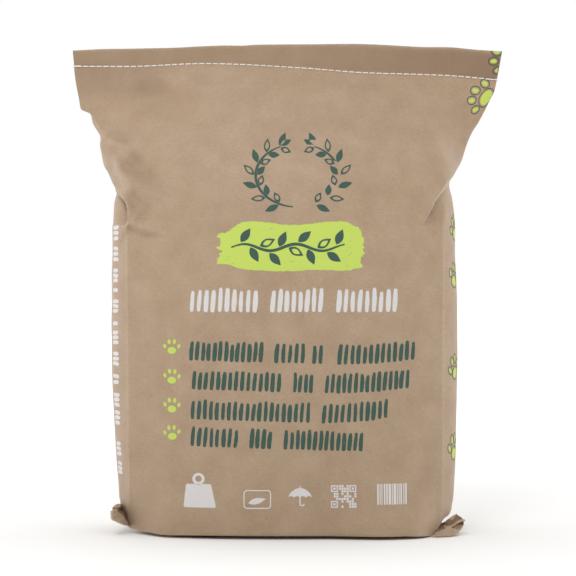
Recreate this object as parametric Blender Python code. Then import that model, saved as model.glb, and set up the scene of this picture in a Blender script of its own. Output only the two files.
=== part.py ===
"""A gusseted kraft-paper sack of cat litter, filled, stood up and sewn shut along its flat top.

Metres, +Z up. The front panel faces -Y, the sack stands on z = 0 and its middle is at x = y = 0.
The sack is one folded paper tube with its contents, so it is one solid. The sewing thread is another.
"""

import bpy
import bmesh
import numpy as np

# Paper tube, as it lies flat before it is filled
FRONT_WIDTH = 0.302
GUSSET_DEPTH = 0.101
SEWN_THICKNESS = 0.0015

# Filled shape. The seam is the stitch row at the left edge, the top edge is the paper's own
SEAM_HEIGHT = 0.4355
BAND_HEIGHT = 0.0148
TOP_EDGE_CROWN = 0.006
CREASE_HALF_DEPTH = 0.047
BELLY_BULGE = 0.035

# The sack leans a little to the left of its paper's middle line, so everything stands this far right
MIDDLE_LINE_X = 0.00195

# Sewing: one row of chain stitch through the flat top
THREAD = 0.0012
HOLES = 62
NEEDLE_CLEARANCE = 0.0003
CHAIN_THICKNESS = 0.0012
CHAIN_WIDTH = 0.0020
DASH_PUFF = 0.0003

# Bottom fold
UNDERSIDE_INSET_FRONT = 0.008
UNDERSIDE_INSET_SIDE = 0.030
BOTTOM_FLAP_DEPTH = 0.030
FLAP_GROOVE = 0.0012
EAR_THICKNESS = 0.0026

# Mesh spacing, and the shares of the height where each stretch of rows ends
FRONT_COLUMNS = 22
SIDE_COLUMNS = 8
BODY_ROWS, BODY_END = 13, 0.64
SHOULDER_ROWS, SHOULDER_END = 20, 0.92
MOUTH_ROWS = 6
BAND_ROWS, BAND_SHARE = 3, 0.05
CURL_ROWS = 3

HALF_FRONT = FRONT_WIDTH / 2
FLAT_REACH = HALF_FRONT + GUSSET_DEPTH / 2

# How far each line has drawn in from its place on the flat tube, at shares of the seam's height:
# the gussets' middle ridges, then the creases between front panel and gussets
LEFT_RIDGE = [
    (0.00, 0.0480), (0.05, 0.0430), (0.11, 0.0405), (0.30, 0.0360), (0.55, 0.0345), (0.69, 0.0370),
    (0.735, 0.0392), (0.758, 0.0345), (0.785, 0.0285), (0.825, 0.0245), (0.865, 0.0200),
    (0.892, 0.0140), (0.903, 0.0085), (0.912, 0.0058), (0.935, 0.0038), (1.00, 0.0000), (1.06, -0.0012),
]
RIGHT_RIDGE = [
    (0.00, 0.0480), (0.045, 0.0467), (0.11, 0.0448), (0.45, 0.0424), (0.61, 0.0440), (0.715, 0.0472),
    (0.743, 0.0500), (0.755, 0.0484), (0.778, 0.0424), (0.802, 0.0378), (0.852, 0.0315), (0.877, 0.0265),
    (0.930, 0.0160), (0.953, 0.0115), (0.973, 0.0073), (1.00, 0.0057), (1.06, 0.0010),
]
LEFT_CREASE = [(0.00, 0.0070), (0.45, 0.0063), (0.60, 0.0055), (0.67, 0.0032), (0.72, 0.0010), (1.06, 0.0)]
RIGHT_CREASE = [(0.00, 0.0110), (0.08, 0.0098), (0.62, 0.0095), (0.70, 0.0070), (0.76, 0.0020), (1.06, 0.0005)]

# Shares of the creases' half depth and of the belly's bulge, and how round the gussets are, by height
CREASE_DEPTH = [
    (0.00, 0.94), (0.10, 0.97), (0.35, 1.00), (0.64, 0.99), (0.69, 0.957), (0.736, 0.87), (0.782, 0.73),
    (0.828, 0.55), (0.874, 0.36), (0.92, 0.17), (0.954, 0.064), (0.985, 0.0), (1.06, 0.0),
]
BELLY = [
    (0.00, 0.80), (0.12, 0.90), (0.35, 1.00), (0.506, 1.00), (0.575, 0.93), (0.644, 0.81), (0.69, 0.71),
    (0.736, 0.63), (0.782, 0.56), (0.828, 0.50), (0.874, 0.40), (0.92, 0.285), (0.954, 0.17),
    (0.985, 0.03), (1.00, 0.0), (1.06, 0.0),
]
GUSSET_ROUNDNESS = [(0.00, 1.0), (0.62, 1.0), (0.76, 0.5), (0.86, 0.1), (0.93, 0.0), (1.06, 0.0)]

# Across the sack: how far the stitch row strays from the seam's height, by shares of the flat reach,
# and how high the fold round the bottom stands, by shares of the half front
STITCH_ROW = [
    (-1.00, 0.0), (-0.75, -0.0003), (-0.40, 0.0025), (0.07, -0.0015), (0.36, -0.0060), (0.74, -0.0086),
    (1.00, -0.0133),
]
BOTTOM_EDGE = [
    (-1.04, 0.018), (-0.99, 0.011), (-0.955, 0.006), (-0.75, 0.004), (0.84, 0.004), (0.92, 0.011),
    (1.02, 0.020),
]

# Folds at the shoulders. A route's points give how far in from the crease's flat place, on the left (-1)
# or right (1), and the share of the seam's height. A pleat's drop lies on the route's left hand
FRONT_FOLDS = [
    {"side": 1, "route": [(-0.001, 0.754), (0.0158, 0.7067), (0.0213, 0.6814), (0.0277, 0.6605), (0.035, 0.650)],
     "rise": 0.0025, "width": 0.008, "drop": 0.012, "reach": 0.018, "fade": (0.0, 0.4)},
    {"side": -1, "route": [(0.0035, 0.6506), (0.0035, 0.6862), (0.0017, 0.701), (-0.002, 0.7136), (-0.013, 0.7356)],
     "rise": 0.0010, "width": 0.007, "drop": 0.012, "reach": 0.010, "fade": (0.35, 0.0)},
    {"side": -1, "route": [(0.033, 0.652), (0.0158, 0.6563), (0.0035, 0.6598)],
     "rise": 0.0015, "width": 0.008, "drop": 0.006, "reach": 0.009, "fade": (0.5, 0.2)},
    {"side": -1, "route": [(-0.012, 0.8138), (-0.011, 0.7931), (0.001, 0.7632), (0.019, 0.7264), (0.051, 0.6828)],
     "rise": 0.0035, "width": 0.010, "fade": (0.2, 0.5)},
    {"side": -1, "route": [(-0.003, 0.80), (0.011, 0.7816), (0.023, 0.7485), (0.0383, 0.7184)],
     "rise": -0.0028, "width": 0.010, "fade": (0.3, 0.4)},
    {"side": -1, "route": [(0.003, 0.731), (0.0163, 0.6931), (0.0275, 0.6611)],
     "rise": -0.0030, "width": 0.009, "fade": (0.3, 0.3)},
    {"side": -1, "route": [(0.001, 0.954), (0.046, 0.915), (0.091, 0.8966)],
     "rise": -0.0035, "width": 0.020, "fade": (0.3, 0.5)},
]
BACK_FOLDS = [
    {"side": -1, "route": [(0.001, 0.7494), (0.018, 0.7103), (0.030, 0.6736), (0.043, 0.6552)],
     "rise": 0.0025, "width": 0.009, "fade": (0.2, 0.5)},
    {"side": 1, "route": [(-0.009, 0.80), (0.012, 0.7494), (0.039, 0.6989), (0.063, 0.6759)],
     "rise": 0.0035, "width": 0.012, "fade": (0.2, 0.5)},
    {"side": 1, "route": [(0.005, 0.8092), (0.033, 0.777), (0.066, 0.754)],
     "rise": -0.0028, "width": 0.011, "fade": (0.3, 0.5)},
    {"side": -1, "route": [(-0.007, 0.8552), (0.025, 0.8092), (0.069, 0.777)],
     "rise": -0.0030, "width": 0.013, "fade": (0.3, 0.5)},
]
PLEAT_EDGE_SOFTNESS = 0.004

# The bottom seam's two ends stick out at the floor as folded ears, each of two flaps. The points run
# round a flap: how far out past the half front, then y and z
LEFT_EAR = [
    [(-0.031, -0.046, 0.004), (-0.004, -0.046, 0.0065), (0.0085, -0.043, 0.0115), (0.0140, -0.037, 0.0160),
     (0.0138, -0.030, 0.0195), (0.0050, -0.026, 0.0200), (-0.031, -0.012, 0.006)],
    [(-0.026, -0.030, 0.010), (-0.0010, -0.032, 0.0195), (0.0120, -0.026, 0.0225), (0.0095, -0.018, 0.0260),
     (0.0020, -0.012, 0.0272), (-0.026, -0.006, 0.012)],
]
RIGHT_EAR = [
    [(-0.033, -0.054, 0.0022), (-0.019, -0.054, 0.0018), (0.0020, -0.053, 0.0022), (0.0085, -0.047, 0.0052),
     (0.0115, -0.036, 0.0105), (0.0030, -0.028, 0.0080), (-0.033, -0.016, 0.004)],
    [(-0.031, -0.034, 0.006), (-0.0030, -0.030, 0.0090), (0.0130, -0.032, 0.0135), (0.0145, -0.024, 0.0165),
     (0.0070, -0.012, 0.0205), (-0.0020, -0.006, 0.0150), (-0.031, -0.006, 0.006)],
]


def eased(share):
    """0 below 0, 1 above 1 and a smooth rise between them."""
    share = np.clip(share, 0.0, 1.0)
    return share * share * (3 - 2 * share)


def through(knots, at):
    """A smooth curve through (place, value) knots that never swings past them, read at each place."""
    places, values = np.array(knots).T
    spans = np.diff(places)
    rises = np.diff(values) / spans
    product = rises[:-1] * rises[1:]
    turning = product <= 0
    both = np.where(turning, 1.0, rises[:-1] + rises[1:])
    inner = np.where(turning, 0.0, 2 * product / both)
    slopes = np.concatenate([rises[:1], inner, rises[-1:]])
    at = np.clip(at, places[0], places[-1])
    k = np.clip(np.searchsorted(places, at) - 1, 0, len(spans) - 1)
    f = (at - places[k]) / spans[k]
    level = values[k] * (1 + 2 * f) * (1 - f) ** 2 + values[k + 1] * f * f * (3 - 2 * f)
    return level + spans[k] * (slopes[k] * f * (1 - f) ** 2 - slopes[k + 1] * f * f * (1 - f))


def from_route(x, z, route):
    """Distance from a route, positive on its left hand, and the share of the route passed by then."""
    ahead = np.diff(route, axis=0)
    lengths = np.hypot(ahead[:, 0], ahead[:, 1])
    passed = np.concatenate([[0.0], np.cumsum(lengths)])
    nearest = np.full(x.shape, np.inf)
    side = np.ones(x.shape)
    share = np.zeros(x.shape)
    for (x0, z0), (dx, dz), length, before in zip(route, ahead, lengths, passed):
        along = np.clip(((x - x0) * dx + (z - z0) * dz) / length**2, 0.0, 1.0)
        off_x = x - x0 - along * dx
        off_z = z - z0 - along * dz
        distance = np.hypot(off_x, off_z)
        closer = distance < nearest
        nearest = np.where(closer, distance, nearest)
        side = np.where(closer, np.where(dx * off_z < dz * off_x, -1.0, 1.0), side)
        share = np.where(closer, (before + along * length) / passed[-1], share)
    return nearest * side, share


def fold_height(x, z, folds):
    """How far the folds stand out of the paper at x and z: ridges up, and the drop beside a pleat down."""
    height = np.zeros(x.shape)
    for fold in folds:
        inset, share_up = np.array(fold["route"]).T
        route = np.column_stack([fold["side"] * (HALF_FRONT - inset), share_up * SEAM_HEIGHT])
        distance, share = from_route(x, z, route)
        fade_in, fade_out = fold["fade"]
        strength = eased(share / fade_in) if fade_in else np.ones(x.shape)
        strength = strength * (eased((1 - share) / fade_out) if fade_out else 1.0)
        height = height + strength * fold["rise"] * np.exp(-((distance / fold["width"]) ** 2))
        if "drop" in fold:
            beside = eased(distance / PLEAT_EDGE_SOFTNESS + 0.5)
            beside = beside * np.exp(-np.maximum(distance, 0) / fold["reach"])
            height = height - strength * fold["drop"] * beside
    return height


def seam_z(x):
    return SEAM_HEIGHT + through(STITCH_ROW, x / FLAT_REACH)


def paper_z(x, up):
    """The paper's height at x: up is 0 at the fold round the bottom, 1 at the stitch row."""
    strayed = (seam_z(x) - SEAM_HEIGHT) * eased((up - 0.74) / 0.26)
    lifted = through(BOTTOM_EDGE, x / HALF_FRONT) * np.maximum(1 - up / BODY_END, 0)
    top = SEAM_HEIGHT + BAND_HEIGHT + TOP_EDGE_CROWN * (1 - np.minimum(np.abs(x) / FLAT_REACH, 1) ** 2)
    in_band = seam_z(x) + (up - 1) / BAND_SHARE * (top - seam_z(x))
    return np.where(up <= 1, up * SEAM_HEIGHT + strayed + lifted, in_band)


def outline(panel, share, up):
    """x and y on one panel, at a share of its width and a height."""
    left = -(HALF_FRONT - through(LEFT_CREASE, up))
    right = HALF_FRONT - through(RIGHT_CREASE, up)
    sewn_y = SEWN_THICKNESS / 2
    crease_y = sewn_y + (CREASE_HALF_DEPTH - sewn_y) * through(CREASE_DEPTH, up)
    across = 2 * share - 1
    if panel in ("front", "back"):
        face = -1 if panel == "front" else 1
        y = crease_y + BELLY_BULGE * through(BELLY, up) * (1 - np.abs(across) ** 2.5)
        return left + (right - left) * share, face * y
    crease = right if panel == "right" else left
    ridge = FLAT_REACH - through(RIGHT_RIDGE, up) if panel == "right" else through(LEFT_RIDGE, up) - FLAT_REACH
    roundness = through(GUSSET_ROUNDNESS, up)
    bow = roundness * (1 - np.abs(across) ** 2.4) + (1 - roundness) * (1 - np.abs(across))
    return crease + (ridge - crease) * bow, across * crease_y


def ring(up):
    """The tube's closed outline at one height, from the front's left crease round by the right."""
    even = np.linspace(0, 1, FRONT_COLUMNS + 1)
    front = (even + (1 - np.cos(np.pi * even)) / 2) / 2
    side = np.linspace(0, 1, SIDE_COLUMNS + 1)
    turning = np.cos(np.pi * side)
    runs = []
    for panel, shares, facing in (
        ("front", front, np.ones(len(front))),
        ("right", side, turning),
        ("back", front[::-1], -np.ones(len(front))),
        ("left", side[::-1], -turning),
    ):
        x, y = outline(panel, shares, np.full(len(shares), up))
        runs.append(np.column_stack([x, y, facing])[:-1])
    x, y, facing = np.concatenate(runs).T
    z = paper_z(x, up)
    slack = eased((1 - up) / 0.04)
    y = y - slack * eased(0.6 + facing) * fold_height(x, z, FRONT_FOLDS)
    y = y + slack * eased(0.6 - facing) * fold_height(x, z, BACK_FOLDS)
    return np.column_stack([x, y, z])


def curled_ring(lowest, share):
    """A ring between the fold round the bottom, share 0, and the flat underside, share 1."""
    x, y, z = lowest.T
    turn = share * np.pi / 2
    inward = 1 - np.cos(turn)
    x = x * (1 - inward * UNDERSIDE_INSET_SIDE / np.abs(x).max())
    y = y * (1 - inward * UNDERSIDE_INSET_FRONT / np.abs(y).max())
    return np.column_stack([x, y, z * (1 - np.sin(turn))])


def tube_rings():
    levels = np.concatenate([
        np.linspace(0.0, BODY_END, BODY_ROWS + 1),
        np.linspace(BODY_END, SHOULDER_END, SHOULDER_ROWS + 1)[1:],
        np.linspace(SHOULDER_END, 1.0, MOUTH_ROWS + 1)[1:],
        np.linspace(1.0, 1.0 + BAND_SHARE, BAND_ROWS + 1)[1:],
    ])
    rings = [ring(up) for up in levels]
    foot = [curled_ring(rings[0], share) for share in np.linspace(1, 0, CURL_ROWS + 1)[:-1]]
    return foot + rings


def finish(name, colour, roughness):
    material = bpy.data.materials.new(name)
    material.use_nodes = True
    shader = material.node_tree.nodes["Principled BSDF"]
    shader.inputs["Base Color"].default_value = colour
    shader.inputs["Roughness"].default_value = roughness
    return material


def linked(name, bm):
    """A new object with this mesh, its faces turned outwards."""
    bmesh.ops.recalc_face_normals(bm, faces=bm.faces)
    mesh = bpy.data.meshes.new(name)
    bm.to_mesh(mesh)
    bm.free()
    obj = bpy.data.objects.new(name, mesh)
    obj.location.x = MIDDLE_LINE_X
    bpy.context.scene.collection.objects.link(obj)
    return obj


def boolean(obj, tool, operation):
    """Cuts the tool out of an object, or joins it on, and keeps the tool out of sight."""
    tool.hide_render = True
    tool.display_type = "WIRE"
    modifier = obj.modifiers.new(tool.name, "BOOLEAN")
    modifier.operation = operation
    modifier.solver = "EXACT"
    modifier.object = tool


def boxes(name, centres, size):
    bm = bmesh.new()
    for centre in centres:
        corners = bmesh.ops.create_cube(bm, size=1.0)["verts"]
        bmesh.ops.scale(bm, vec=size, verts=corners)
        bmesh.ops.translate(bm, vec=centre, verts=corners)
    return linked(name, bm)


def flap(name, side, points):
    """A folded flap of paper: an outline given a thickness along its own average normal."""
    out, y, z = np.array(points).T
    points = np.column_stack([side * (HALF_FRONT + out), y, z])
    normal = np.cross(points, np.roll(points, -1, axis=0)).sum(axis=0)
    offset = normal / np.linalg.norm(normal) * EAR_THICKNESS / 2
    bm = bmesh.new()
    upper = [bm.verts.new(point) for point in points + offset]
    lower = [bm.verts.new(point) for point in points - offset]
    bm.faces.new(upper)
    bm.faces.new(lower[::-1])
    for i in range(len(points)):
        j = (i + 1) % len(points)
        bm.faces.new([upper[i], lower[i], lower[j], upper[j]])
    return linked(name, bm)


def stitch_places():
    """Where the thread passes the paper: over its left edge, through each hole, over its right edge."""
    middle, at_seam = np.array([0.5]), np.array([1.0])
    beyond = NEEDLE_CLEARANCE + THREAD
    left = outline("left", middle, at_seam)[0][0] - beyond
    right = outline("right", middle, at_seam)[0][0] + beyond
    x = np.linspace(left, right, HOLES + 2)
    return x, seam_z(x)


def make_sack():
    rings = tube_rings()
    bm = bmesh.new()
    verts = [[bm.verts.new(point) for point in points] for points in rings]
    around = len(verts[0])
    for low, high in zip(verts, verts[1:]):
        for i in range(around):
            j = (i + 1) % around
            bm.faces.new([low[i], low[j], high[j]])
            bm.faces.new([low[i], high[j], high[i]])
    bm.faces.new(verts[0][::-1])
    # The cut edge of the top joins the front layer to the back one, point by point between the ridges
    edge = verts[-1]
    right_ridge = FRONT_COLUMNS + SIDE_COLUMNS // 2
    for k in range(around // 2):
        far = [edge[(right_ridge + k) % around], edge[(right_ridge + k + 1) % around]]
        near = [edge[(right_ridge - k - 1) % around], edge[(right_ridge - k) % around]]
        bm.faces.new(dict.fromkeys(far + near))
    sack = linked("sack", bm)

    x, z = stitch_places()
    hole = THREAD + 2 * NEEDLE_CLEARANCE
    centres = [(px, 0.0, pz) for px, pz in zip(x[1:-1], z[1:-1])]
    boolean(sack, boxes("needle_holes", centres, (hole, 8 * SEWN_THICKNESS, hole)), "DIFFERENCE")
    for name, side, flaps in (("left_ear", -1, LEFT_EAR), ("right_ear", 1, RIGHT_EAR)):
        for number, points in enumerate(flaps, start=1):
            boolean(sack, flap(f"{name}_{number}", side, points), "UNION")
    groove = (2 * FLAT_REACH, FLAP_GROOVE, 2 * FLAP_GROOVE)
    boolean(sack, boxes("flap_edge", [(0.0, -BOTTOM_FLAP_DEPTH, 0.0)], groove), "DIFFERENCE")
    sack.data.shade_smooth()
    sack.data.set_sharp_from_angle(angle=np.radians(35))
    sack.data.materials.append(finish("kraft_paper", (0.42, 0.30, 0.20, 1.0), 0.85))


def leg(bm, start, end, near, far, width):
    """A stitch's leg between two posts: as wide as they are at its ends, and `width` in its middle."""
    x = (start[0].co.x + end[0].co.x) / 2
    z = sum(vert.co.z for vert in start + end) / 8
    places = ((near, -1), (far, -1), (far, 1), (near, 1))
    middle = [bm.verts.new((x, y, z + rise * width / 2)) for y, rise in places]
    for first, second in ((start, middle), (middle, end)):
        for i in range(4):
            j = (i + 1) % 4
            bm.faces.new([first[i], first[j], second[j], second[i]])


def make_thread():
    """One thread: dashes along the front, a pass through every hole and a flat chain along the back."""
    face = SEWN_THICKNESS / 2 + NEEDLE_CLEARANCE
    depths = (-face - THREAD, -face, face, face + CHAIN_THICKNESS)
    bm = bmesh.new()
    posts = []
    for x, z in zip(*stitch_places()):
        posts.append({
            (level, side, rise): bm.verts.new((x + side * THREAD / 2, depth, z + rise * THREAD / 2))
            for level, depth in enumerate(depths)
            for side in (-1, 1)
            for rise in (-1, 1)
        })

    def side_of(post, side, near, far):
        return [post[near, side, -1], post[far, side, -1], post[far, side, 1], post[near, side, 1]]

    for post in posts:
        for low in range(3):
            for rise in (-1, 1):
                corners = [(low, -1, rise), (low, 1, rise), (low + 1, 1, rise), (low + 1, -1, rise)]
                bm.faces.new([post[corner] for corner in corners])
        for level in (0, 3):
            corners = [(level, -1, -1), (level, 1, -1), (level, 1, 1), (level, -1, 1)]
            bm.faces.new([post[corner] for corner in corners])
        for side in (-1, 1):
            bm.faces.new(side_of(post, side, 1, 2))
    for post, side in ((posts[0], -1), (posts[-1], 1)):
        bm.faces.new(side_of(post, side, 1, 0))
        bm.faces.new(side_of(post, side, 2, 3))
    for post, after in zip(posts, posts[1:]):
        leg(bm, side_of(post, 1, 1, 0), side_of(after, -1, 1, 0), depths[1], depths[0] - DASH_PUFF, THREAD)
        leg(bm, side_of(post, 1, 2, 3), side_of(after, -1, 2, 3), depths[2], depths[3], CHAIN_WIDTH)
    thread = linked("top_thread", bm)
    thread.data.shade_smooth()
    thread.data.set_sharp_from_angle(angle=np.radians(40))
    thread.data.materials.append(finish("cotton_thread", (0.84, 0.82, 0.78, 1.0), 0.7))


for old in list(bpy.data.objects):
    bpy.data.objects.remove(old, do_unlink=True)
make_sack()
make_thread()
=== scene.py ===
"""A filled kraft-paper sack of cat litter, sewn shut with white thread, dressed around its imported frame."""

import math
import random

import bmesh
import bpy
import numpy as np
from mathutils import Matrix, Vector, noise


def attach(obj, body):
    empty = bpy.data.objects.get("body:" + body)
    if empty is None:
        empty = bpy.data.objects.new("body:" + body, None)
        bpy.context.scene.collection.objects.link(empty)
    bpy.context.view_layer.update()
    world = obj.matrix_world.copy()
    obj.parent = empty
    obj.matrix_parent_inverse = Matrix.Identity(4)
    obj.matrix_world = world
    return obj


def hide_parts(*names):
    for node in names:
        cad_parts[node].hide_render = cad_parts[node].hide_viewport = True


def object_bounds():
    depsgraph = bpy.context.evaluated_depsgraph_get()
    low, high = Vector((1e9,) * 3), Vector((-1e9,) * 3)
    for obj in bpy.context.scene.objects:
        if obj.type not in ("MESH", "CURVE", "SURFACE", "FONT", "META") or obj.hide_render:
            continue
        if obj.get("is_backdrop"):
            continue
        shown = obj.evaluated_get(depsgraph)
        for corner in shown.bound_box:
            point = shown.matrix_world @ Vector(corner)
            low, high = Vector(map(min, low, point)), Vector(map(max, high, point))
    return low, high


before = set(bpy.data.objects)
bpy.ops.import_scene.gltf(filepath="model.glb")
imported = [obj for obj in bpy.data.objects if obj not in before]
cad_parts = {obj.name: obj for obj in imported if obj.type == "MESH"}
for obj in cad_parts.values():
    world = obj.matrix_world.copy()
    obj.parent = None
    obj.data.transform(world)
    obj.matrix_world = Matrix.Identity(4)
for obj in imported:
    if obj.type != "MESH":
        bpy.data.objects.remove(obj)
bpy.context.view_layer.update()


# The studio: a white floor that runs out of sight in an even white tent, brighter overhead, with one large
# soft lamp above and in front. The camera looks level at the sack's front from 1.7 m.
MIDDLE_LINE_X = 0.00195
CAMERA_DISTANCE = 1.70
CAMERA_HEIGHT = 0.227
LENS_MM = 112.9
SENSOR_MM = 36.0
FLOOR_HALF = 30.0
WHITE = (1.0, 1.0, 1.0, 1.0)


def rgb(hex_colour):
    """A linear colour from an sRGB hex value."""
    parts = [int(hex_colour[i:i + 2], 16) / 255 for i in (1, 3, 5)]
    return (*[c / 12.92 if c <= 0.04045 else ((c + 0.055) / 1.055) ** 2.4 for c in parts], 1.0)


def feed(tree, node, inputs):
    """Links the inputs that are given as another node's socket, and sets all others."""
    for name, value in inputs.items():
        if isinstance(value, bpy.types.NodeSocket):
            tree.links.new(value, node.inputs[name])
        else:
            node.inputs[name].default_value = value


def add(tree, kind, inputs=None, **settings):
    """A node with its settings and inputs."""
    made = tree.nodes.new(kind)
    for name, value in settings.items():
        setattr(made, name, value)
    feed(tree, made, inputs or {})
    return made


def new_material(name):
    material = bpy.data.materials.new(name)
    material.use_nodes = True
    return material, material.node_tree, material.node_tree.nodes["Principled BSDF"]


def linked(name, mesh, material):
    obj = bpy.data.objects.new(name, mesh)
    bpy.context.scene.collection.objects.link(obj)
    obj.data.materials.append(material)
    return obj


scene = bpy.context.scene
scene.view_settings.view_transform = "Standard"

# The tent's wall behind the camera is dimmer, and its roof and its side walls are brighter
tent = bpy.data.worlds.new("white_tent")
tent.use_nodes = True
tree = tent.node_tree
outward = add(tree, "ShaderNodeTexCoord").outputs["Generated"]
direction = add(tree, "ShaderNodeSeparateXYZ", {"Vector": outward})
aside = add(tree, "ShaderNodeMath", {0: direction.outputs["X"]}, operation="ABSOLUTE")
brightness = None
for reach, start, end, dim, bright in (
    (direction.outputs["Y"], -0.9, 0.2, 0.34, 1.0),
    (direction.outputs["Z"], 0.2, 1.0, 0.0, 0.10),
    (aside.outputs[0], 0.4, 1.0, 0.0, 0.78),
):
    lit = add(tree, "ShaderNodeMapRange", {
        "Value": reach, "From Min": start, "From Max": end, "To Min": dim, "To Max": bright,
    }).outputs["Result"]
    brightness = add(tree, "ShaderNodeMath", {0: brightness, 1: lit}).outputs[0] if brightness else lit
feed(tree, tree.nodes["Background"], {"Color": WHITE, "Strength": brightness})
scene.world = tent

# Matt white paper that glows as painted light, the more the farther it lies from the sack, so that it fades
# into the tent
floor_mesh = bpy.data.meshes.new("floor")
floor_corners = [(x * FLOOR_HALF, y * FLOOR_HALF, 0.0) for x, y in ((-1, -1), (1, -1), (1, 1), (-1, 1))]
floor_mesh.from_pydata(floor_corners, [], [(0, 1, 2, 3)])
floor_paper, tree, shader = new_material("matt_white_backdrop_paper")
place = add(tree, "ShaderNodeTexCoord").outputs["Object"]
from_sack = add(tree, "ShaderNodeVectorMath", {0: place}, operation="LENGTH")
painted_glow = add(tree, "ShaderNodeMapRange", {
    "Value": from_sack.outputs["Value"], "From Min": 0.30, "From Max": 1.5, "To Max": 0.24,
})
feed(tree, shader, {
    "Base Color": rgb("#F6F6F5"), "Roughness": 0.9, "Emission Color": WHITE,
    "Emission Strength": painted_glow.outputs["Result"],
})
linked("floor", floor_mesh, floor_paper)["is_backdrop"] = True

softbox = bpy.data.lights.new("top_softbox", "AREA")
softbox.shape = "DISK"
softbox.size = 0.6
softbox.energy = 6.0
lamp = bpy.data.objects.new("top_softbox", softbox)
lamp.location = (-0.34, -1.05, 1.38)
lamp.rotation_euler = (Vector((0.0, 0.0, 0.25)) - lamp.location).to_track_quat("-Z", "Y").to_euler()
scene.collection.objects.link(lamp)

camera_data = bpy.data.cameras.new("camera")
camera_data.lens = LENS_MM
camera_data.sensor_width = SENSOR_MM
camera = bpy.data.objects.new("camera", camera_data)
camera.location = (MIDDLE_LINE_X, -CAMERA_DISTANCE, CAMERA_HEIGHT)
camera.rotation_euler = (math.pi / 2, 0.0, 0.0)
scene.collection.objects.link(camera)
scene.camera = camera


# The sack: one tube of brown kraft paper with side gussets, filled and standing. Its creases, the pleats at
# its shoulders and the flat top follow the frame's sack. The paper's cockles and fine folds are added here.
FRONT_WIDTH = 0.302
GUSSET_DEPTH = 0.101
SEWN_THICKNESS = 0.0015
SEAM_HEIGHT = 0.4355
BAND_HEIGHT = 0.0148
BAND_SHARE = 0.05
TOP_EDGE_CROWN = 0.006
CREASE_HALF_DEPTH = 0.047
BELLY_BULGE = 0.035
UNDERSIDE_INSET_FRONT = 0.020
UNDERSIDE_INSET_SIDE = 0.030
BODY_END = 0.64
HALF_FRONT = FRONT_WIDTH / 2
FLAT_REACH = HALF_FRONT + GUSSET_DEPTH / 2

# How far each line has drawn in from its place on the flat tube, at shares of the seam's height
LEFT_RIDGE = [
    (0.0, 0.044), (0.05, 0.043), (0.11, 0.0411), (0.3, 0.0369), (0.55, 0.0363), (0.66, 0.0377),
    (0.705, 0.0377), (0.733, 0.0392), (0.75, 0.035), (0.772, 0.0299), (0.789, 0.0252), (0.812, 0.0228),
    (0.834, 0.0213), (0.8465, 0.0216), (0.854, 0.021), (0.8646, 0.0184), (0.882, 0.0143), (0.899, 0.0128),
    (0.903, 0.0106), (0.9055, 0.0077), (0.909, 0.005), (0.916, 0.0042), (0.935, 0.0036), (1.0, 0.0004),
    (1.06, -0.0012),
]
RIGHT_RIDGE = [
    (0.0, 0.048), (0.045, 0.0467), (0.11, 0.0446), (0.3, 0.0428), (0.45, 0.043), (0.61, 0.0448),
    (0.715, 0.0456), (0.743, 0.0484), (0.755, 0.0468), (0.778, 0.0397), (0.802, 0.0337), (0.852, 0.0267),
    (0.877, 0.0226), (0.9, 0.0178), (0.93, 0.0135), (0.953, 0.0114), (0.973, 0.0078), (1.0, 0.0051),
    (1.06, 0.001),
]
LEFT_CREASE = [
    (0.0, 0.0035), (0.1, 0.0045), (0.29, 0.0042), (0.45, 0.0035), (0.6, 0.0032), (0.67, 0.0025),
    (0.72, 0.001), (1.06, 0.0),
]
RIGHT_CREASE = [
    (0.0, 0.011), (0.08, 0.009), (0.62, 0.0088), (0.7, 0.0068), (0.76, 0.002), (1.06, 0.0005),
]
CREASE_DEPTH = [
    (0.0, 0.94), (0.1, 0.97), (0.35, 1.0), (0.64, 0.99), (0.69, 0.957), (0.736, 0.87), (0.782, 0.73),
    (0.828, 0.55), (0.874, 0.36), (0.92, 0.17), (0.954, 0.064), (0.985, 0.0), (1.06, 0.0),
]
BELLY = [
    (0.0, 0.8), (0.12, 0.9), (0.35, 1.0), (0.506, 1.0), (0.575, 0.93), (0.644, 0.81), (0.69, 0.71),
    (0.736, 0.63), (0.782, 0.56), (0.828, 0.5), (0.874, 0.4), (0.92, 0.285), (0.954, 0.17), (0.985, 0.03),
    (1.0, 0.0), (1.06, 0.0),
]
GUSSET_ROUNDNESS = [(0.00, 1.0), (0.62, 1.0), (0.76, 0.5), (0.86, 0.1), (0.93, 0.0), (1.06, 0.0)]
STITCH_ROW = [
    (-1.0, 0.0), (-0.75, -0.0003), (-0.4, 0.0025), (0.07, -0.0015), (0.36, -0.006), (0.74, -0.0086),
    (1.0, -0.0133),
]
TOP_EDGE = [
    (-1.0, 0.0001), (-0.87, -0.0003), (-0.755, -0.0012), (-0.62, -0.0018), (-0.52, -0.002), (-0.42, -0.0015),
    (-0.3, -0.0012), (-0.22, -0.0017), (-0.14, -0.001), (0.084, -0.0008), (0.196, -0.0005), (0.31, -0.0002),
    (0.42, -0.0006), (0.53, -0.0013), (0.615, -0.0017), (0.755, -0.001), (0.867, -0.0021), (1.0, -0.0026),
]
BOTTOM_EDGE = [
    (-1.04, 0.014), (-1.0, 0.007), (-0.96, 0.0047), (-0.86, 0.0035), (-0.76, 0.0026), (-0.6, 0.0034),
    (-0.32, 0.004), (0.68, 0.0036), (0.79, 0.0024), (0.861, 0.0012), (0.885, 0.0022), (0.927, 0.0105),
    (0.955, 0.0172), (1.004, 0.0203), (1.02, 0.0212),
]
# Past the left crease the gusset's foot is tucked up over the ear
TUCK_START = 0.1482
TUCK_WIDTH = 0.0030
TUCK_HEIGHT = 0.0120
TUCK_REACH = 0.07

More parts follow.
